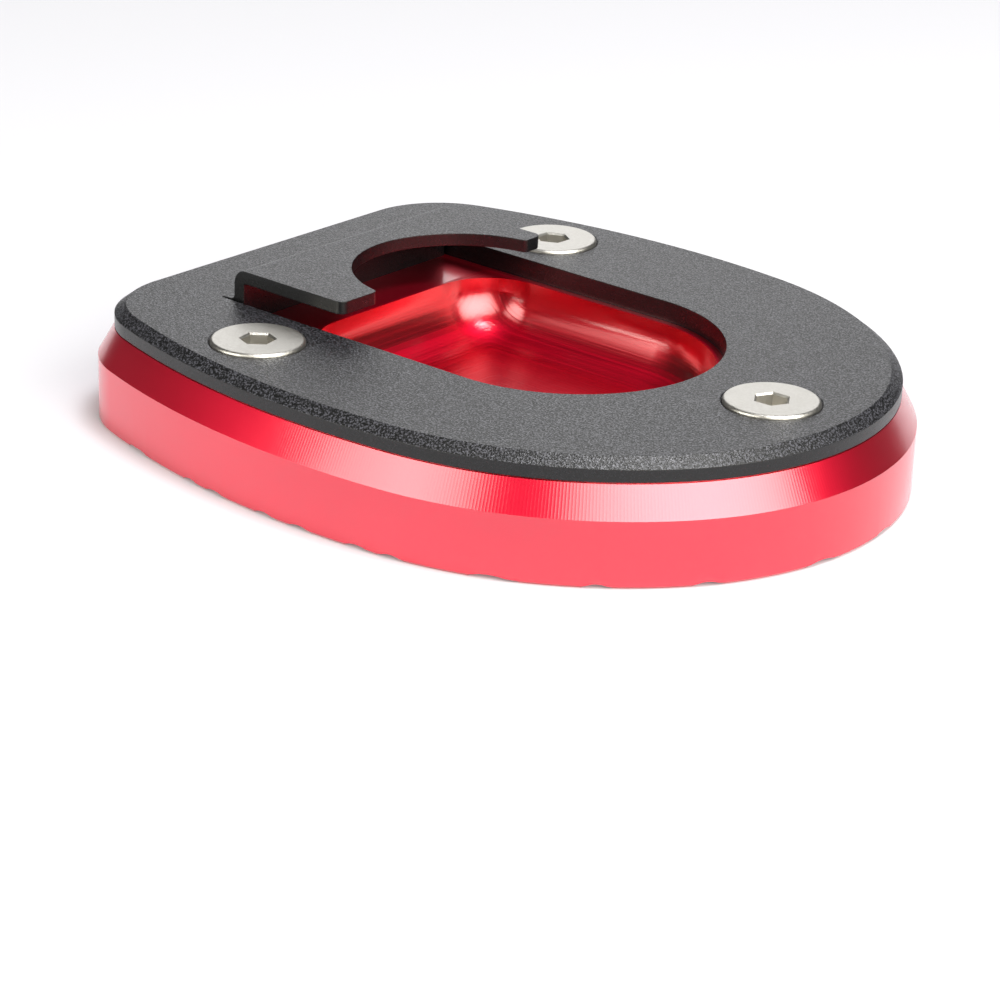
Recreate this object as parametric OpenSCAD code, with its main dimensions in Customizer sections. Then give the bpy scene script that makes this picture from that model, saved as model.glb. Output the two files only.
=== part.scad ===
// Foot enlarger for a motorbike's side stand.
// A solid base, wider than the stand's own foot, carries a bowl that the foot sits in.
// A flat plate is screwed on top of it, and the plate's raised tongue grips the foot's heel.
// X runs from the straight back edge to the round front, Z is up, and the base stands on Z = 0.

/* [Plate outline] */
// Length of the plate, from the straight back edge to the round front
plate_len = 80.6; // [78:0.2:84]
// Width of the plate at its widest
plate_w = 67.4; // [65:0.2:70]
// Radius of the two back corners
corner_r = 11.3; // [9:0.1:13]
// Radius of the two long, slightly bowed sides
side_r = 93; // [88:1:100]
// Angle that a back corner turns through
corner_turn = 71.6; // [70:0.1:74]
// Angle that a side turns through
side_turn = 25.8; // [24:0.1:28]
// Angle that a front shoulder turns through
shoulder_turn = 44.9; // [42:0.1:48]

/* [Clamp plate] */
// Thickness of the plate
plate_t = 2.3; // [2:0.1:3.2]
// Width of the bevel round the plate's top, seen from above
plate_bevel_w = 1.25; // [0.5:0.05:1.6]
// Height of that bevel
plate_bevel_h = 0.95; // [0.4:0.05:1.4]
// Width of the slot-shaped opening
opening_w = 33.4; // [31:0.2:35]
// Plate left between the opening's round end and the front
opening_front = 19.5; // [18.5:0.1:21]

/* [Tongue] */
// Distance from the back edge to the upright web that carries the tongue
web_back = 11.5; // [9:0.1:13]
// Length of the tongue, from the back of the web to its free edge
tongue_len = 15.7; // [13:0.1:18]
// Thickness of the tongue and of its web
tongue_t = 1.4; // [1:0.1:1.8]
// Height of the tongue's top above the plate's top
tongue_rise = 3.5; // [2.6:0.1:5]
// Outer radius of the bend between the web and the tongue
bend_r = 1.6; // [1.4:0.1:2]
// Radius left at the foot of the web
web_foot_r = 0.6; // [0.3:0.1:0.9]
// Width of the slit on each side of the tongue
slit_w = 0.4; // [0.2:0.05:0.8]
// How far the slits run on behind the web
slit_reach = 1.4; // [0.8:0.1:2.5]
// Radius of the round notch for the stand's leg
notch_r = 12.3; // [11:0.1:13]
// How far the notch's centre stands ahead of the tongue's free edge
notch_ahead = 1.8; // [0:0.1:2.6]
// Sideways shift of that notch
notch_shift = 1.3; // [0:0.1:2]
// Radius at the two lips of the notch
lip_r = 0.7; // [0.4:0.1:1.2]
// Radius of the tongue's two outer corners
tongue_corner_r = 1; // [0.5:0.1:1.6]

/* [Base] */
// Height of the base
base_h = 10.4; // [10:0.1:14]
// Width of the broad bevel above the wall, seen from above
base_bevel_w = 1.8; // [1:0.1:2.6]
// Height of that bevel
base_bevel_h = 3.15; // [2:0.05:4]
// Height of the land that the plate rests on, above the bevel
land_h = 0.15; // [0.1:0.05:0.4]
// How far the land is set back under the plate, which leaves a thin shadow line
land_inset = 0.3; // [0.1:0.05:0.6]
// Edge break round the underside
sole_break = 0.3; // [0.2:0.05:0.6]
// Distance from the plate's back edge to the bowl's back wall
bowl_back = 19.6; // [17:0.1:22]
// Width of the ledge between the plate's opening and the bowl's rim
bowl_ledge = 0.9; // [0.4:0.1:1.6]
// Depth of the bowl below the base's top
bowl_depth = 6.4; // [6:0.1:7]
// Radius between the bowl's wall and its floor
bowl_fillet_r = 5.8; // [4:0.1:5.9]
// Radius of the bowl's two back corners, seen from above
bowl_corner_r = 6.8; // [6:0.1:8]

/* [Grip grooves] */
// Spacing of the grooves across the underside
groove_pitch = 10.4; // [8:0.1:14]
// Depth of a groove
groove_depth = 0.5; // [0.3:0.05:0.8]
// Radius of a groove's round bottom
groove_r = 2.5; // [2:0.1:4]
// Angle of the grooves to the length, to either side
groove_turn = 60; // [50:1:70]
// Shift of the middle grooves from the centre
groove_shift = 2.2; // [0:0.1:5]

/* [Screws] */
// Distance from the back edge to the two side screws
side_screw_back = 22.5; // [20:0.1:26]
// How far across the rail beside the opening a side screw stands, as a share of its width
side_screw_share = 0.43; // [0.38:0.01:0.5]
// Distance from the front screw to the front edge
front_screw_front = 9.7; // [8.5:0.1:10.5]
// Diameter of the shank
screw_d = 5; // [4:0.1:5.4]
// Diameter of the head
head_d = 10; // [9.4:0.1:10.6]
// Height of the head's upright rim
head_rim_h = 0.6; // [0.5:0.05:0.9]
// How far the head stands above the plate
head_proud = 0.35; // [0:0.05:0.45]
// Radius round the top edge of the head
head_round_r = 0.35; // [0.1:0.05:0.5]
// Length of the screw, with its head
screw_len = 9.8; // [8:0.1:9.8]
// Edge break at the end of the shank
shank_break = 0.6; // [0.3:0.1:1]
// Width of the socket across its flats
socket_w = 3.1; // [2.5:0.1:3.5]
// Depth of the socket
socket_depth = 1.9; // [1.2:0.1:2.2]
// Width of the six-sided bevel at the socket's mouth
socket_mouth = 0.2; // [0.1:0.05:0.4]
// Turn of the left, right and front sockets, in degrees
socket_turns = [27, 40, 3];

/* [Fits] */
// Gap round a shank in its hole
shank_gap = 0.05; // [0.02:0.01:0.1]
// Gap round a shank where it passes the plate
plate_hole_gap = 0.25; // [0.1:0.05:0.4]
// Gap between a head's cone and the mouth of the hole below it
mouth_gap = 0.15; // [0.1:0.05:0.3]
// Depth of a hole past the end of its screw
hole_runout = 0.6; // [0.3:0.1:0.8]

/* [Hidden] */
$fn = 64;
// Every cut runs on past its solid by this much
overrun = 1;
// Height of the thinnest layer that a bevel ends in
layer = 0.02;
// Straight pieces in each curved stretch of the outline
arc_steps = 16;

// Angles turned through at the end of the side and of the shoulder
side_end = corner_turn + side_turn;
shoulder_end = side_end + shoulder_turn;
// Half of the straight back edge, worked out from the width
back_half = plate_w / 2 - corner_r * sin(corner_turn) - side_r * (1 - sin(corner_turn));
// Where a shoulder of no radius would leave the front arc, and what a radius changes
front_y = plate_w / 2 - side_r * (1 - sin(side_end));
shoulder_drop_share = sin(side_end) - sin(shoulder_end);
shoulder_run_share = cos(side_end) - cos(shoulder_end);
front_run_share = (1 + cos(shoulder_end)) / sin(shoulder_end);
back_run = corner_r * (1 - cos(corner_turn)) + side_r * (cos(corner_turn) - cos(side_end));
// Radius of the shoulders that gives the plate its length
shoulder_r = (plate_len - back_run - front_y * front_run_share)
           / (shoulder_run_share - shoulder_drop_share * front_run_share);
// Radius of the front, centred on the middle line
front_r = (front_y - shoulder_r * shoulder_drop_share) / sin(shoulder_end);

back_x = -plate_len / 2;
plate_z = base_h;
plate_top = plate_z + plate_t;
tongue_top = plate_top + tongue_rise;
web_x = back_x + web_back;
tongue_w = opening_w - 2 * slit_w;
free_x = web_x + tongue_len;
opening_r = opening_w / 2;
opening_x = plate_len / 2 - opening_front - opening_r;
bowl_r = opening_r - bowl_ledge;
bowl_x = back_x + bowl_back;
bowl_z = base_h - bowl_depth;
bevel_z = base_h - land_h - base_bevel_h;

side_screw_x = back_x + side_screw_back;
side_screw_half = opening_r + side_screw_share * (plate_w / 2 - opening_r);
front_screw_x = plate_len / 2 - front_screw_front;
screw_places = [[side_screw_x, side_screw_half], [side_screw_x, -side_screw_half], [front_screw_x, 0]];
head_top = plate_top + head_proud;
cone_top = head_top - head_rim_h;
cone_h = (head_d - screw_d) / 2;
screw_end = head_top - screw_len;
hole_d = screw_d + 2 * shank_gap;
plate_hole_d = screw_d + 2 * plate_hole_gap;
// The cone's own diameter where it crosses a level
function cone_d(z) = head_d - 2 * (cone_top - z);

// Points along a stretch of outline, from its start, its heading and its arc
function arc_points(start, heading, radius, turn) = [
    for (i = [1:arc_steps])
        let (a = heading - turn * i / arc_steps)
        [start[0] + radius * (sin(heading) - sin(a)), start[1] + radius * (cos(a) - cos(heading))]
];
function last(list) = list[len(list) - 1];
function mirrored(list) = [for (i = [len(list) - 1:-1:0]) [list[i][0], -list[i][1]]];

// Half of the outline grown outwards by a margin, from the back edge round to the front
function half_outline(grow) = let (
    start = [back_x - grow, back_half],
    corner = arc_points(start, 90, corner_r + grow, corner_turn),
    side = arc_points(last(corner), 90 - corner_turn, side_r + grow, side_turn),
    shoulder = arc_points(last(side), 90 - side_end, shoulder_r + grow, shoulder_turn),
    front = arc_points(last(shoulder), 90 - shoulder_end, front_r + grow, 180 - shoulder_end)
) concat([start], corner, side, shoulder, [for (i = [0:arc_steps - 2]) front[i]]);

module outline(grow) {
    half = half_outline(grow);
    polygon(concat(half, [[plate_len / 2 + grow, 0]], mirrored(half)));
}

// A flat slab of the outline, between two levels
module slab(grow, low, high) {
    translate([0, 0, low]) linear_extrude(high - low) outline(grow);
}

// Half of the bowl's section: a wall, a round and the floor, up to radius r
module bowl_section(r) {
    intersection() {
        square([r, bowl_depth + overrun]);
        union() {
            square([r - bowl_fillet_r, bowl_depth + overrun]);
            translate([0, bowl_fillet_r]) square([r, bowl_depth + overrun]);
            translate([r - bowl_fillet_r, bowl_fillet_r]) circle(bowl_fillet_r);
        }
    }
}

// The bowl: straight sides, a half-round front end and two smaller back corners
module bowl() {
    inner_x = bowl_x + bowl_corner_r;
    inner_y = bowl_r - bowl_corner_r;
    translate([0, 0, bowl_z]) {
        translate([opening_x, 0, 0]) rotate([0, 0, -90])
            rotate_extrude(angle = 180) bowl_section(bowl_r);
        translate([inner_x, 0, 0]) rotate([90, 0, 90]) linear_extrude(opening_x - inner_x) {
            bowl_section(bowl_r);
            mirror([1, 0]) bowl_section(bowl_r);
        }
        translate([inner_x, inner_y, 0]) rotate([90, 0, 0]) linear_extrude(2 * inner_y)
            mirror([1, 0]) bowl_section(bowl_corner_r);
        translate([inner_x, inner_y, 0]) rotate([0, 0, 90])
            rotate_extrude(angle = 90) bowl_section(bowl_corner_r);
        translate([inner_x, -inner_y, 0]) rotate([0, 0, 180])
            rotate_extrude(angle = 90) bowl_section(bowl_corner_r);
    }
}

// A blind screw hole, its mouth opened wide enough to clear the head's cone
module screw_hole() {
    depth_z = screw_end - hole_runout;
    mouth_d = max(hole_d, cone_d(base_h)) + 2 * mouth_gap;
    translate([0, 0, depth_z]) cylinder(d = hole_d, h = base_h + overrun - depth_z);
    mouth_h = (mouth_d - hole_d) / 2;
    translate([0, 0, base_h - mouth_h])
        cylinder(d1 = hole_d, d2 = mouth_d + 2 * overrun, h = mouth_h + overrun);
}

// Round-bottomed grip grooves, crossing each other in diamonds under the base
module grip_grooves() {
    reach = plate_len + plate_w;
    count = ceil(reach / 2 / groove_pitch);
    for (side = [-1, 1], i = [-count:count])
        rotate([0, 0, side * groove_turn])
            translate([-reach, -side * (groove_shift + i * groove_pitch), groove_depth - groove_r])
                rotate([0, 90, 0]) cylinder(r = groove_r, h = 2 * reach);
}

module base() {
    land_z = base_h - land_h;
    color("crimson") difference() {
        union() {
            hull() {
                slab(base_bevel_w - sole_break, 0, layer);
                slab(base_bevel_w, sole_break, bevel_z);
                slab(0, land_z - layer, land_z);
            }
            slab(-land_inset, land_z - layer, base_h);
        }
        bowl();
        for (place = screw_places) translate(place) screw_hole();
        grip_grooves();
    }
}

// A countersunk hole, whose cone is the screw head's own
module countersink() {
    top_z = plate_top + overrun;
    low_z = cone_top - (head_d - plate_hole_d) / 2;
    translate([0, 0, low_z]) cylinder(d1 = plate_hole_d, d2 = cone_d(top_z), h = top_z - low_z);
    translate([0, 0, plate_z - overrun]) cylinder(d = plate_hole_d, h = plate_t + overrun);
}

// The opening with its round front end, and the slits that free the tongue
module opening_cut() {
    front_of_web = web_x + tongue_t;
    slit_x = web_x - slit_reach;
    translate([0, 0, plate_z - overrun]) linear_extrude(plate_t + 2 * overrun) {
        translate([opening_x, 0]) circle(opening_r);
        translate([front_of_web, -opening_r]) square([opening_x - front_of_web, opening_w]);
        for (side = [-1, 1]) translate([slit_x, side * (opening_r - slit_w / 2)]) {
            circle(slit_w / 2);
            translate([0, -slit_w / 2]) square([front_of_web - slit_x, slit_w]);
        }
    }
}

// What rounding takes off a square corner that points along +X and +Y
module corner_off(r) {
    translate([-r, -r]) difference() {
        square(r + overrun);
        circle(r);
    }
}

// What rounding takes off one lip of the notch, seen from the notch's centre. Its circle
// touches the tongue's free edge and the notch itself.
module lip_off() {
    centre = [-notch_ahead - lip_r, -sqrt(pow(notch_r + lip_r, 2) - pow(notch_ahead + lip_r, 2))];
    on_notch = centre * notch_r / (notch_r + lip_r);
    outside_x = overrun - notch_ahead;
    difference() {
        polygon([centre, [outside_x, centre[1]], [outside_x, 0], on_notch]);
        translate(centre) circle(lip_r);
    }
}

// The tongue seen from above: rounded corners and the notch with its rounded lips
module tongue_plan() {
    half_w = tongue_w / 2;
    difference() {
        translate([web_x - web_foot_r, -half_w]) square([tongue_len + web_foot_r, tongue_w]);
        translate([free_x + notch_ahead, notch_shift]) circle(notch_r);
        for (other = [0, 1]) mirror([0, other]) translate([free_x, half_w]) corner_off(tongue_corner_r);
        for (other = [0, 1])
            translate([free_x + notch_ahead, notch_shift]) mirror([0, other]) lip_off();
    }
}

// The tongue seen from the side: an upright web, bent over into the flat tongue
module tongue_side() {
    difference() {
        union() {
            translate([web_x, plate_z]) square([tongue_t, tongue_top - bend_r - plate_z]);
            translate([web_x + bend_r, tongue_top - tongue_t]) square([tongue_len - bend_r, tongue_t]);
            intersection() {
                translate([web_x, tongue_top - bend_r]) square(bend_r);
                translate([web_x + bend_r, tongue_top - bend_r]) circle(bend_r);
            }
        }
        translate([web_x + bend_r, tongue_top - bend_r]) circle(bend_r - tongue_t);
    }
    translate([web_x - web_foot_r, plate_top]) difference() {
        square(web_foot_r);
        translate([0, web_foot_r]) circle(web_foot_r);
    }
}

module tongue() {
    intersection() {
        translate([0, tongue_w / 2, 0]) rotate([90, 0, 0]) linear_extrude(tongue_w) tongue_side();
        translate([0, 0, plate_z]) linear_extrude(tongue_top - plate_z) tongue_plan();
    }
}

module clamp_plate() {
    color("dimgray") {
        difference() {
            hull() {
                slab(0, plate_z, plate_top - plate_bevel_h);
                slab(-plate_bevel_w, plate_top - layer, plate_top);
            }
            opening_cut();
            for (place = screw_places) translate(place) countersink();
        }
        tongue();
    }
}

// Half of the head's section above its cone: an upright rim with a rounded top edge
module head_section() {
    upright_h = head_rim_h - head_round_r;
    square([head_d / 2, upright_h]);
    square([head_d / 2 - head_round_r, head_rim_h]);
    intersection() {
        translate([0, upright_h]) square([head_d / 2, head_round_r]);
        translate([head_d / 2 - head_round_r, upright_h]) circle(head_round_r);
    }
}

// A countersunk screw with a six-sided socket
module screw(turn) {
    corner_d = socket_w / cos(30);
    widening = socket_mouth + overrun;
    color("silver") difference() {
        union() {
            translate([0, 0, cone_top]) rotate_extrude() head_section();
            translate([0, 0, cone_top - cone_h]) cylinder(d1 = screw_d, d2 = head_d, h = cone_h);
            translate([0, 0, screw_end + shank_break])
                cylinder(d = screw_d, h = cone_top - cone_h - screw_end - shank_break);
            translate([0, 0, screw_end])
                cylinder(d1 = screw_d - 2 * shank_break, d2 = screw_d, h = shank_break);
        }
        rotate([0, 0, turn]) {
            translate([0, 0, head_top - socket_depth])
                cylinder(d = corner_d, h = socket_depth + overrun, $fn = 6);
            translate([0, 0, head_top - socket_mouth])
                cylinder(d1 = corner_d, d2 = corner_d + 2 * widening / cos(30), h = widening, $fn = 6);
        }
    }
}

module left_screw() { translate(screw_places[0]) screw(socket_turns[0]); }
module right_screw() { translate(screw_places[1]) screw(socket_turns[1]); }
module front_screw() { translate(screw_places[2]) screw(socket_turns[2]); }

base();
clamp_plate();
left_screw();
right_screw();
front_screw();
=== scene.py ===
import math

import bpy
from mathutils import Matrix, Vector


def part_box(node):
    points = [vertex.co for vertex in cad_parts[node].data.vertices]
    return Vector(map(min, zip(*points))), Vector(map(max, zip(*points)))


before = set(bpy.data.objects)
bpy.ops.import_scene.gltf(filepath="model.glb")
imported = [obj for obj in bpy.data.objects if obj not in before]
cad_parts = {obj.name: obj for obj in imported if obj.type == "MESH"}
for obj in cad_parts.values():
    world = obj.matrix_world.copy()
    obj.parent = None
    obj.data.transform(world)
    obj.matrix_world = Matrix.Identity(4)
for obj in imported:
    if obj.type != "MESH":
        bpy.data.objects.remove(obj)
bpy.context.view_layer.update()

# Base
# One block of aluminium, milled all round: a bowl in its top, a broad bevel cut across by a
# side cutter, an upright wall and crossing grooves underneath. It is dyed red in the anodising
# bath, and a clear sealed oxide lies over the dyed metal.
MM = 0.001
# The base's outline is the plate's own, made wider by the bevel: three arcs on each side
# and one round the front, each with the angle that it turns through
PLATE_LEN = 80.6
PLATE_W = 67.4
CORNER_R = 11.3
SIDE_R = 93.0
CORNER_TURN = math.radians(71.6)
SIDE_TURN = math.radians(25.8)
SHOULDER_TURN = math.radians(44.9)
BEVEL_W = 1.8
BEVEL_H = 3.15
LAND_H = 0.15
BOWL_BACK = 19.6
BOWL_R = 15.8
BOWL_DEPTH = 6.4
OPENING_FRONT = 19.5
OPENING_R = 16.7
# The cutter leaves a fine scallop every third of a millimetre along the bevel, and each
# leans a little to one side or the other
BEVEL_STEP = 0.34
BEVEL_CUT_DEPTH = 0.0035
STEP_TILT = 0.12
# Streaks in the bowl: their spacing, their length along the cut and their depth
BOWL_STREAK = 0.27
STREAK_LENGTH = 20.0
BOWL_CUT_DEPTH = 0.03
# The etched satin under the dye, and slow patches where the dye took a little better
SATIN_PER_MM = 6.0
SATIN_DEPTH = 0.001
DYE_PATCH = 20.0
RED_METAL = "#EC123A"
RED_DEEP = "#DA0E32"
# A darker red painted over the bowl as painted shade
BOWL_PAINTED_SHADE_RED = "#B40B20"
WALL_ROUGH = 0.4
BEVEL_ROUGH = 0.42
BOWL_ROUGH_LEAST = 0.27
BOWL_ROUGH_MOST = 0.4
BOWL_FLOOR_DULLER = 0.14
# The clear oxide's gloss; on the bowl's dull floor it is weaker, and so is the bowl's painted shade
COAT_ROUGH = 0.16
COAT_IOR = 1.9
COAT_ON_FLOOR = 0.25
PAINTED_SHADE_ON_FLOOR = 0.35
# Nearly all of a noise's values lie between these two
NOISE_LOW = 0.3
NOISE_HIGH = 0.7
# Facets that meet at fewer degrees than this shade as one curve, once points closer
# together than the second value are joined
CURVE_ANGLE = 14
WELD_REACH = 0.002
# A face whose plane lies farther out than this is the base's outside, and one that is tilted
# this much there is its bevel
OUTER_REACH = 12.0
LEAST_TILT = 0.2
# The bowl's place is taken a little wide, and the streaks turn softly at its back corners
BOWL_MARGIN = 0.3
FLOOR_MARGIN = 0.2
CORNER_BLEND = 2.0
# How far a face looks up, from 0 to 1: below the first it is the bowl's wall, above the
# second its floor
WALL_UP = 0.58
FLOOR_UP = 0.78


def linear(code):
    parts = [int(code[i:i + 2], 16) / 255 for i in (1, 3, 5)]
    return [c / 12.92 if c <= 0.04045 else ((c + 0.055) / 1.055) ** 2.4 for c in parts] + [1.0]


def add(tree, kind, inputs=None, **settings):
    made = tree.nodes.new(kind)
    for name, value in settings.items():
        setattr(made, name, value)
    for socket, value in (inputs or {}).items():
        if isinstance(value, bpy.types.NodeSocket):
            tree.links.new(value, made.inputs[socket])
        elif isinstance(value, bpy.types.Node):
            tree.links.new(value.outputs[0], made.inputs[socket])
        else:
            made.inputs[socket].default_value = value
    return made


def new_material(name):
    material = bpy.data.materials.new(name)
    material.use_nodes = True
    material.node_tree.nodes.clear()
    return material, material.node_tree


def round_facets(obj, degrees):
    """The flat strips of a curved wall shade as one curve, and real edges stay crisp."""
    if obj.data.has_custom_normals:
        bpy.context.view_layer.objects.active = obj
        bpy.ops.mesh.customdata_custom_splitnormals_clear()
    group = bpy.data.node_groups.new(obj.name + "_shading", "GeometryNodeTree")
    group.interface.new_socket("Geometry", in_out="INPUT", socket_type="NodeSocketGeometry")
    group.interface.new_socket("Geometry", in_out="OUTPUT", socket_type="NodeSocketGeometry")
    start = add(group, "NodeGroupInput")
    merged = add(group, "GeometryNodeMergeByDistance",
                 {"Geometry": start, "Distance": WELD_REACH * MM})
    smooth = add(group, "GeometryNodeSetShadeSmooth", {"Geometry": merged, "Shade Smooth": True})
    angle = add(group, "GeometryNodeInputMeshEdgeAngle")
    sharp = add(group, "FunctionNodeCompare",
                {0: angle.outputs["Unsigned Angle"], 1: math.radians(degrees)},
                data_type="FLOAT", operation="GREATER_THAN")
    edges = add(group, "GeometryNodeSetShadeSmooth",
                {"Geometry": smooth, "Selection": sharp, "Shade Smooth": False}, domain="EDGE")
    add(group, "NodeGroupOutput", {0: edges})
    modifier = obj.modifiers.new("shading", "NODES")
    modifier.node_group = group
    # Large flat faces keep their own normals, so their long triangles don't streak
    weighted = obj.modifiers.new("weighting", "WEIGHTED_NORMAL")
    weighted.mode = "FACE_AREA"
    weighted.keep_sharp = True


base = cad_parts["base"]
base_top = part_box("base")[1].z / MM
back_x = -PLATE_LEN / 2
opening_x = PLATE_LEN / 2 - OPENING_FRONT - OPENING_R
bowl_x = back_x + BOWL_BACK
bowl_z = base_top - BOWL_DEPTH

# The outline's four arcs from the back edge round to the front: centre, radius and turn
side_end = CORNER_TURN + SIDE_TURN
shoulder_end = side_end + SHOULDER_TURN
back_half = PLATE_W / 2 - CORNER_R * math.sin(CORNER_TURN) - SIDE_R * (1 - math.sin(CORNER_TURN))
front_y = PLATE_W / 2 - SIDE_R * (1 - math.sin(side_end))
drop_share = math.sin(side_end) - math.sin(shoulder_end)
run_share = math.cos(side_end) - math.cos(shoulder_end)
front_share = (1 + math.cos(shoulder_end)) / math.sin(shoulder_end)
back_run = (CORNER_R * (1 - math.cos(CORNER_TURN))
            + SIDE_R * (math.cos(CORNER_TURN) - math.cos(side_end)))
shoulder_r = ((PLATE_LEN - back_run - front_y * front_share)
              / (run_share - drop_share * front_share))
front_r = (front_y - shoulder_r * drop_share) / math.sin(shoulder_end)
turned = [0.0, CORNER_TURN, side_end, shoulder_end, math.pi]
radii = [CORNER_R, SIDE_R, shoulder_r, front_r]
arcs = []
point = Vector((back_x, back_half))
run = back_half
for radius, begin, stop in zip(radii, turned, turned[1:]):
    normal = Vector((-math.cos(begin), math.sin(begin)))
    centre = point - normal * radius
    arcs.append((centre, radius + BEVEL_W, math.pi - begin, run, point.x))
    run += (radius + BEVEL_W) * (stop - begin)
    point = centre + Vector((-math.cos(stop), math.sin(stop))) * radius

red, tree = new_material("red_anodised_aluminium")
place = add(tree, "ShaderNodeTexCoord").outputs["Object"]
in_mm = add(tree, "ShaderNodeVectorMath", {0: place, 3: 1 / MM}, operation="SCALE")
axes = add(tree, "ShaderNodeSeparateXYZ", {0: in_mm})
x, y, z = axes.outputs
side = add(tree, "ShaderNodeMath", {0: y}, operation="ABSOLUTE")
facing = add(tree, "ShaderNodeNewGeometry").outputs["True Normal"]
facing_up = add(tree, "ShaderNodeSeparateXYZ", {0: facing}).outputs[2]

# How far along the outline a point of the bevel lies, in millimetres
along = side
for centre, radius, begin, start_run, start_x in arcs:
    across = add(tree, "ShaderNodeMath", {0: x, 1: centre.x}, operation="SUBTRACT")
    out = add(tree, "ShaderNodeMath", {0: side, 1: centre.y}, operation="SUBTRACT")
    angle = add(tree, "ShaderNodeMath", {0: out, 1: across}, operation="ARCTAN2")
    reach = add(tree, "ShaderNodeMath", {0: angle, 1: -radius, 2: start_run + radius * begin},
                operation="MULTIPLY_ADD")
    if start_x == back_x:
        beyond = add(tree, "ShaderNodeMath", {0: side, 1: back_half}, operation="GREATER_THAN")
    else:
        beyond = add(tree, "ShaderNodeMath", {0: x, 1: start_x}, operation="GREATER_THAN")
    along = add(tree, "ShaderNodeMix", {0: beyond, 2: along, 3: reach})

# Scallops left across the bevel, each a little different from the next
step = add(tree, "ShaderNodeMath", {0: along, 1: BEVEL_STEP}, operation="DIVIDE")
in_step = add(tree, "ShaderNodeMath", {0: step}, operation="FRACT")
centred = add(tree, "ShaderNodeMath", {0: in_step, 1: 0.5}, operation="SUBTRACT")
scallop = add(tree, "ShaderNodeMath", {0: centred, 1: centred}, operation="MULTIPLY")
step_number = add(tree, "ShaderNodeMath", {0: step}, operation="FLOOR")
chance = add(tree, "ShaderNodeTexWhiteNoise", {"W": step_number},
             noise_dimensions="1D").outputs["Value"]
lean = add(tree, "ShaderNodeMath", {0: chance, 1: 0.5}, operation="SUBTRACT")
tilt = add(tree, "ShaderNodeMath", {0: lean, 1: centred}, operation="MULTIPLY")
bevel_height = add(tree, "ShaderNodeMath", {0: tilt, 1: STEP_TILT, 2: scallop},
                   operation="MULTIPLY_ADD")

# The bevel's own faces: outside, tilted, and between the wall's top and the land
outward = add(tree, "ShaderNodeVectorMath", {0: facing, 1: place},
              operation="DOT_PRODUCT").outputs["Value"]
is_outer = add(tree, "ShaderNodeMath", {0: outward, 1: OUTER_REACH * MM}, operation="GREATER_THAN")
bevel_foot = base_top - LAND_H - BEVEL_H
above_wall = add(tree, "ShaderNodeMath", {0: z, 1: bevel_foot}, operation="GREATER_THAN")
below_land = add(tree, "ShaderNodeMath", {0: z, 1: base_top - LAND_H}, operation="LESS_THAN")
tilted = add(tree, "ShaderNodeMath", {0: facing_up, 1: LEAST_TILT}, operation="GREATER_THAN")
outer_band = add(tree, "ShaderNodeMath", {0: is_outer, 1: above_wall}, operation="MULTIPLY")
tilted_band = add(tree, "ShaderNodeMath", {0: below_land, 1: tilted}, operation="MULTIPLY")
on_bevel = add(tree, "ShaderNodeMath", {0: outer_band, 1: tilted_band}, operation="MULTIPLY")

# The bowl: fine streaks that the cutter left run parallel to its wall
ahead = add(tree, "ShaderNodeMath", {0: x, 1: opening_x}, operation="SUBTRACT")
past_centre = add(tree, "ShaderNodeMath", {0: ahead, 1: 0.0}, operation="MAXIMUM")
flat_place = add(tree, "ShaderNodeCombineXYZ", {"X": past_centre, "Y": y})
from_middle = add(tree, "ShaderNodeVectorMath", {0: flat_place}, operation="LENGTH").outputs["Value"]
to_wall = add(tree, "ShaderNodeMath", {0: BOWL_R, 1: from_middle}, operation="SUBTRACT")
to_back = add(tree, "ShaderNodeMath", {0: x, 1: bowl_x}, operation="SUBTRACT")
inset = add(tree, "ShaderNodeMath", {0: to_wall, 1: to_back, 2: CORNER_BLEND},
            operation="SMOOTH_MIN")
inside = add(tree, "ShaderNodeMath", {0: inset, 1: -BOWL_MARGIN}, operation="GREATER_THAN")
above_floor = add(tree, "ShaderNodeMath", {0: z, 1: bowl_z - FLOOR_MARGIN},
                  operation="GREATER_THAN")
in_bowl = add(tree, "ShaderNodeMath", {0: inside, 1: above_floor}, operation="MULTIPLY")
streak_place = add(tree, "ShaderNodeCombineXYZ", {"X": x, "Y": inset})
stretched = add(tree, "ShaderNodeVectorMath",
                {0: streak_place, 1: (1 / STREAK_LENGTH, 1 / BOWL_STREAK, 1.0)},
                operation="MULTIPLY")
streaks = add(tree, "ShaderNodeTexNoise", {"Vector": stretched, "Scale": 1.0, "Detail": 3.0})

bevel_cut = add(tree, "ShaderNodeMath", {0: bevel_height, 1: on_bevel}, operation="MULTIPLY")
# A scallop rises to a quarter of the bump's distance, so that is four times its depth
bevel_bump = add(tree, "ShaderNodeBump", {"Height": bevel_cut, "Distance": 4 * BEVEL_CUT_DEPTH * MM,
                                          "Strength": 1.0})
bowl_cut = add(tree, "ShaderNodeMath", {0: streaks, 1: in_bowl}, operation="MULTIPLY")
bowl_bump = add(tree, "ShaderNodeBump", {"Height": bowl_cut, "Distance": BOWL_CUT_DEPTH * MM,
                                         "Strength": 1.0, "Normal": bevel_bump})
grain = add(tree, "ShaderNodeTexNoise", {"Vector": in_mm, "Scale": SATIN_PER_MM, "Detail": 3.0})
fine_bump = add(tree, "ShaderNodeBump", {"Height": grain, "Distance": SATIN_DEPTH * MM,
                                         "Strength": 1.0, "Normal": bowl_bump})

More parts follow.
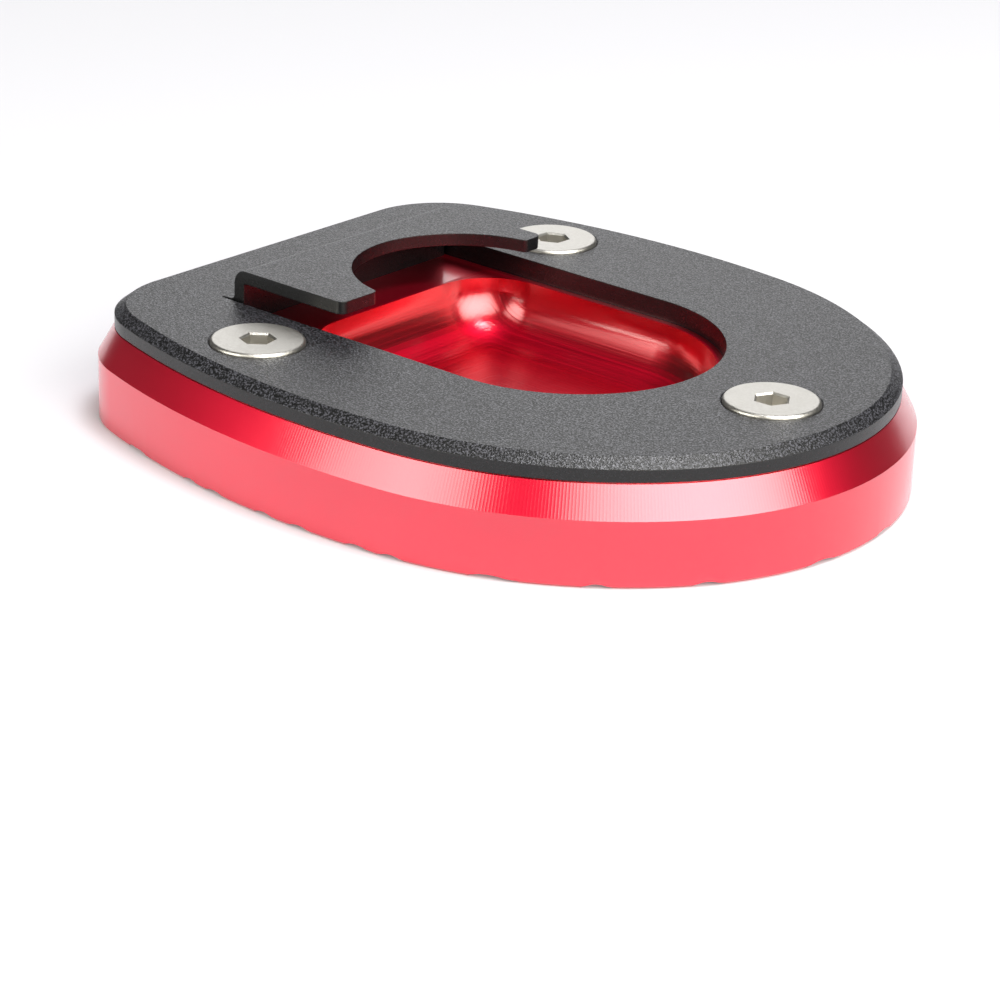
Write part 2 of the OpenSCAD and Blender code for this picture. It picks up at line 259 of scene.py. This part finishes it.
dye = add(tree, "ShaderNodeTexNoise", {"Vector": in_mm, "Scale": 1 / DYE_PATCH, "Detail": 2.0})
dyed = add(tree, "ShaderNodeMix", {0: dye, 6: linear(RED_METAL), 7: linear(RED_DEEP)},
           data_type="RGBA")
swept = add(tree, "ShaderNodeMapRange", {
    "Value": streaks, "From Min": NOISE_LOW, "From Max": NOISE_HIGH,
    "To Min": BOWL_ROUGH_LEAST, "To Max": BOWL_ROUGH_MOST})
satin = add(tree, "ShaderNodeMix", {0: on_bevel, 2: WALL_ROUGH, 3: BEVEL_ROUGH})
# The bowl's floor is duller than its wall, and the bowl is painted a darker red as painted shade, fully
# on its wall and less on its floor
level = add(tree, "ShaderNodeMapRange", {"Value": facing_up, "From Min": WALL_UP, "From Max": FLOOR_UP})
duller = add(tree, "ShaderNodeMath", {0: level, 1: BOWL_FLOOR_DULLER, 2: swept},
             operation="MULTIPLY_ADD")
roughness = add(tree, "ShaderNodeMix", {0: in_bowl, 2: satin, 3: duller})
bowl_shade = add(tree, "ShaderNodeMapRange", {"Value": level, "To Min": 1.0, "To Max": PAINTED_SHADE_ON_FLOOR})
bowl_shade_mask = add(tree, "ShaderNodeMath", {0: bowl_shade, 1: in_bowl}, operation="MULTIPLY")
shaded_red = add(tree, "ShaderNodeMix", {0: bowl_shade_mask, 6: dyed.outputs[2], 7: linear(BOWL_PAINTED_SHADE_RED)},
           data_type="RGBA")
dull = add(tree, "ShaderNodeMath", {0: level, 1: in_bowl}, operation="MULTIPLY")
coat = add(tree, "ShaderNodeMapRange", {"Value": dull, "To Min": 1.0, "To Max": COAT_ON_FLOOR})
anodised = add(tree, "ShaderNodeBsdfPrincipled", {
    "Base Color": shaded_red.outputs[2], "Metallic": 1.0, "Roughness": roughness, "Normal": fine_bump,
    "Coat Weight": coat, "Coat Roughness": COAT_ROUGH, "Coat IOR": COAT_IOR,
    "Coat Normal": fine_bump})
add(tree, "ShaderNodeOutputMaterial", {"Surface": anodised})
base.material_slots[0].material = red
round_facets(base, CURVE_ANGLE)

# Clamp plate
# Steel plate with a bevelled rim; its tongue is slit free at the sides and stepped up. The
# finish is black powder coat, fused to a fine grain that breaks up every reflection.
POWDER_BLACK = "#040405"
POWDER_TOP = "#4A4A50"
POWDER_IOR = 1.5
# The powder's grain, the slower swells under it, and how proud both stand
GRAIN = 0.2
SWELLS_PER_MM = 1.1
SWELL_SHARE = 0.5
GRAIN_DEPTH = 0.07
ASKEW = (0.6, 0.4, 0.2)
# The powder rounds every cut edge over a little
EDGE_R = 0.15
# Pale tops of the grain begin at the first noise value and are full at the second
TOPS_FROM = 0.49
TOPS_FULL = 0.6
ROUGH_IN_PITS = 0.44
ROUGH_ON_TOPS = 0.28
# An edge is upright where it looks up less than the first of these. There it keeps the two shares of
# the grain and of the roughness, and its smaller share of pale grain tops paints it darker as painted
# shade
UPRIGHT_UP = 0.1
SLOPING_UP = 0.5
UPRIGHT_GRAIN_AND_SHADE = 0.08
UPRIGHT_ROUGH = 0.9
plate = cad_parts["clamp_plate"]

powder, tree = new_material("black_powder_coat")
place = add(tree, "ShaderNodeTexCoord").outputs["Object"]
in_mm = add(tree, "ShaderNodeVectorMath", {0: place, 3: 1 / MM}, operation="SCALE")
# Turned, so that no flat face lies along the noise's own grid and loses its grain
askew = add(tree, "ShaderNodeVectorRotate", {"Vector": in_mm, "Rotation": ASKEW},
            rotation_type="EULER_XYZ")
specks = add(tree, "ShaderNodeTexNoise", {"Vector": askew, "Scale": 1 / GRAIN, "Detail": 2.0,
                                          "Roughness": 0.6})
swell = add(tree, "ShaderNodeTexNoise", {"Vector": in_mm, "Scale": SWELLS_PER_MM, "Detail": 2.0})
contrast = add(tree, "ShaderNodeMapRange", {"Value": specks, "From Min": TOPS_FROM,
                                            "From Max": TOPS_FULL})
# The upright edges are painted darker, with fewer pale grain tops, as painted shade; their grain also
# stands lower and they are smoother
facing = add(tree, "ShaderNodeNewGeometry").outputs["True Normal"]
facing_up = add(tree, "ShaderNodeSeparateXYZ", {0: facing}).outputs[2]
level = add(tree, "ShaderNodeMapRange", {
    "Value": facing_up, "From Min": UPRIGHT_UP, "From Max": SLOPING_UP,
    "To Min": UPRIGHT_GRAIN_AND_SHADE, "To Max": 1.0})
grain_and_painted_shade = add(tree, "ShaderNodeMath", {0: contrast, 1: level}, operation="MULTIPLY")
colour = add(tree, "ShaderNodeMix", {0: grain_and_painted_shade, 6: linear(POWDER_BLACK), 7: linear(POWDER_TOP)},
             data_type="RGBA")
height = add(tree, "ShaderNodeMath", {0: swell, 1: SWELL_SHARE, 2: specks},
             operation="MULTIPLY_ADD")
levelled = add(tree, "ShaderNodeMath", {0: height, 1: level}, operation="MULTIPLY")
bump = add(tree, "ShaderNodeBump", {"Height": levelled, "Distance": GRAIN_DEPTH * MM,
                                    "Strength": 1.0})
soft_edge = add(tree, "ShaderNodeBevel", {"Radius": EDGE_R * MM, "Normal": bump}, samples=4)
satin = add(tree, "ShaderNodeMapRange", {
    "Value": specks, "From Min": NOISE_LOW, "From Max": NOISE_HIGH,
    "To Min": ROUGH_IN_PITS, "To Max": ROUGH_ON_TOPS})
smoother = add(tree, "ShaderNodeMapRange", {
    "Value": level, "From Min": UPRIGHT_GRAIN_AND_SHADE, "To Min": UPRIGHT_ROUGH, "To Max": 1.0})
roughness = add(tree, "ShaderNodeMath", {0: satin, 1: smoother}, operation="MULTIPLY")
coating = add(tree, "ShaderNodeBsdfPrincipled", {
    "Base Color": colour.outputs[2], "Metallic": 0.0, "Roughness": roughness,
    "IOR": POWDER_IOR, "Normal": soft_edge})
add(tree, "ShaderNodeOutputMaterial", {"Surface": coating})
plate.material_slots[0].material = powder
round_facets(plate, CURVE_ANGLE)

# Screws
# Stainless steel, turned and then forged with a six-sided socket. Their flat heads stand a
# little above the plate, each in its own countersink.
STEEL = "#CBC8C2"
SCUFFS_PER_MM = 3.5
SCUFF_DEPTH = 0.02
STEEL_ROUGH_LEAST = 0.28
STEEL_ROUGH_MOST = 0.46
# A socket's six flats meet more sharply than this, and the facets of the round head do not
SOCKET_ANGLE = 25
steel, tree = new_material("stainless_steel")
place = add(tree, "ShaderNodeTexCoord").outputs["Object"]
in_mm = add(tree, "ShaderNodeVectorMath", {0: place, 3: 1 / MM}, operation="SCALE")
scuffs = add(tree, "ShaderNodeTexNoise", {"Vector": in_mm, "Scale": SCUFFS_PER_MM, "Detail": 4.0,
                                          "Roughness": 0.65})
bump = add(tree, "ShaderNodeBump", {"Height": scuffs, "Distance": SCUFF_DEPTH * MM, "Strength": 1.0})
roughness = add(tree, "ShaderNodeMapRange", {
    "Value": scuffs, "From Min": NOISE_LOW, "From Max": NOISE_HIGH,
    "To Min": STEEL_ROUGH_LEAST, "To Max": STEEL_ROUGH_MOST})
metal = add(tree, "ShaderNodeBsdfPrincipled", {
    "Base Color": linear(STEEL), "Metallic": 1.0, "Roughness": roughness, "Normal": bump})
add(tree, "ShaderNodeOutputMaterial", {"Surface": metal})
for name in ("left_screw", "right_screw", "front_screw"):
    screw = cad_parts[name]
    screw.material_slots[0].material = steel
    round_facets(screw, SOCKET_ANGLE)

# Floor
# A white sheet that the part lies on. It shows white to the camera and in the metal, and
# keeps the part's soft shadow.
FLOOR_SIZE = 20.0
FLOOR_GLOW = 0.12
PAPER = "#C4C4CA"
floor_mesh = bpy.data.meshes.new("floor")
half = FLOOR_SIZE / 2
corners = [(-half, -half, 0), (half, -half, 0), (half, half, 0), (-half, half, 0)]
floor_mesh.from_pydata(corners, [], [(0, 1, 2, 3)])
floor = bpy.data.objects.new("floor", floor_mesh)
bpy.context.scene.collection.objects.link(floor)
paper, tree = new_material("white_paper")
rays = add(tree, "ShaderNodeLightPath").outputs
mirrored = add(tree, "ShaderNodeMath", {0: rays["Is Glossy Ray"], 1: rays["Is Transmission Ray"]},
               operation="MAXIMUM")
seen = add(tree, "ShaderNodeMath", {0: rays["Is Camera Ray"], 1: mirrored}, operation="MAXIMUM")
strength = add(tree, "ShaderNodeMath", {0: seen, 1: FLOOR_GLOW}, operation="MULTIPLY")
sheet = add(tree, "ShaderNodeBsdfDiffuse", {"Color": linear(PAPER)})
glow = add(tree, "ShaderNodeEmission", {"Color": (1, 1, 1, 1), "Strength": strength})
both = add(tree, "ShaderNodeAddShader", {0: sheet, 1: glow})
add(tree, "ShaderNodeOutputMaterial", {"Surface": both})
floor_mesh.materials.append(paper)

# Light
# Two soft lamps to the left and right of the camera, each brighter in its middle, two small
# ones, far left near the floor and overhead, and a dim white screen behind the part that the
# flat tops mirror. Their distances and sizes are in metres.
ROOM_LEVEL = 0.04
world = bpy.data.worlds.new("room")
bpy.context.scene.world = world
world.use_nodes = True
world.node_tree.nodes.clear()
room = add(world.node_tree, "ShaderNodeBackground", {"Color": (1, 1, 1, 1), "Strength": ROOM_LEVEL})
add(world.node_tree, "ShaderNodeOutputWorld", {"Surface": room})

VIEW_AZIMUTH = math.radians(-50.37)


def softbox(name, azimuth, elevation, distance, width, height, radiance, tint):
    """A lamp aimed at the part, brightest in its middle; its azimuth is from the camera's own."""
    lamp = bpy.data.lights.new(name, "AREA")
    lamp.use_nodes = True
    lamp.node_tree.nodes.clear()
    spot = add(lamp.node_tree, "ShaderNodeNewGeometry").outputs["Parametric"]
    rest = add(lamp.node_tree, "ShaderNodeVectorMath", {0: (1, 1, 1), 1: spot}, operation="SUBTRACT")
    dome = add(lamp.node_tree, "ShaderNodeVectorMath", {0: spot, 1: rest}, operation="MULTIPLY")
    domes = add(lamp.node_tree, "ShaderNodeSeparateXYZ", {0: dome}).outputs
    both = add(lamp.node_tree, "ShaderNodeMath", {0: domes[0], 1: domes[1]}, operation="MULTIPLY")
    root = add(lamp.node_tree, "ShaderNodeMath", {0: both}, operation="SQRT")
    # The root is a quarter in the lamp's middle, so four times it is one
    fade = add(lamp.node_tree, "ShaderNodeMath", {0: root, 1: 4.0}, operation="MULTIPLY")
    light = add(lamp.node_tree, "ShaderNodeEmission", {"Color": linear(tint), "Strength": fade})
    add(lamp.node_tree, "ShaderNodeOutputLight", {"Surface": light})
    lamp.shape = "RECTANGLE"
    lamp.size = width
    lamp.size_y = height
    lamp.energy = radiance * math.pi * width * height
    holder = bpy.data.objects.new(name, lamp)
    turn = VIEW_AZIMUTH + math.radians(azimuth)
    lift = math.radians(elevation)
    away = Vector((math.cos(turn) * math.cos(lift), math.sin(turn) * math.cos(lift), math.sin(lift)))
    upright = away.to_track_quat("Z", "Y").to_matrix().to_4x4()
    holder.matrix_world = Matrix.Translation(away * distance) @ upright
    holder.visible_camera = False
    bpy.context.scene.collection.objects.link(holder)


WARM = "#FFFDF3"
WHITE = "#FFFFFF"
LAMP_DISTANCE = 0.8
SCREEN_DISTANCE = 1.2
softbox("right_lamp", 36, 31, LAMP_DISTANCE, width=1.2, height=0.84, radiance=6.7, tint=WARM)
softbox("left_lamp", -57.5, 27, LAMP_DISTANCE, width=0.6, height=0.68, radiance=4.8, tint=WARM)
softbox("low_lamp", -78, 10.5, LAMP_DISTANCE, width=0.22, height=0.2, radiance=5.4, tint=WARM)
softbox("top_lamp", 72, 77, LAMP_DISTANCE, width=0.38, height=0.36, radiance=20.0, tint=WHITE)
softbox("back_screen", 180, 22, SCREEN_DISTANCE, width=0.95, height=0.95, radiance=1.6, tint=WHITE)

# Camera
# A short telephoto view from a little above, with the front of the part to the right. Near
# and far limits are in metres.
VIEW_ELEVATION = math.radians(22.64)
VIEW_ROLL = math.radians(2.0)
VIEW_DISTANCE = 0.3418
FOCAL_LENGTH = 120.08
SENSOR = 36.0
AIM = Vector((8.33, -15.3, 0.0)) * MM
NEAREST = 0.01
FARTHEST = 20.0
camera_data = bpy.data.cameras.new("camera")
camera_data.lens = FOCAL_LENGTH
camera_data.sensor_width = SENSOR
camera_data.clip_start = NEAREST
camera_data.clip_end = FARTHEST
camera = bpy.data.objects.new("camera", camera_data)
away = Vector((math.cos(VIEW_AZIMUTH) * math.cos(VIEW_ELEVATION),
               math.sin(VIEW_AZIMUTH) * math.cos(VIEW_ELEVATION), math.sin(VIEW_ELEVATION)))
upright = away.to_track_quat("Z", "Y").to_matrix().to_4x4()
camera.matrix_world = (Matrix.Translation(AIM + away * VIEW_DISTANCE) @ upright
                       @ Matrix.Rotation(VIEW_ROLL, 4, "Z"))
bpy.context.scene.collection.objects.link(camera)
bpy.context.scene.camera = camera
bpy.context.scene.view_settings.view_transform = "Standard"
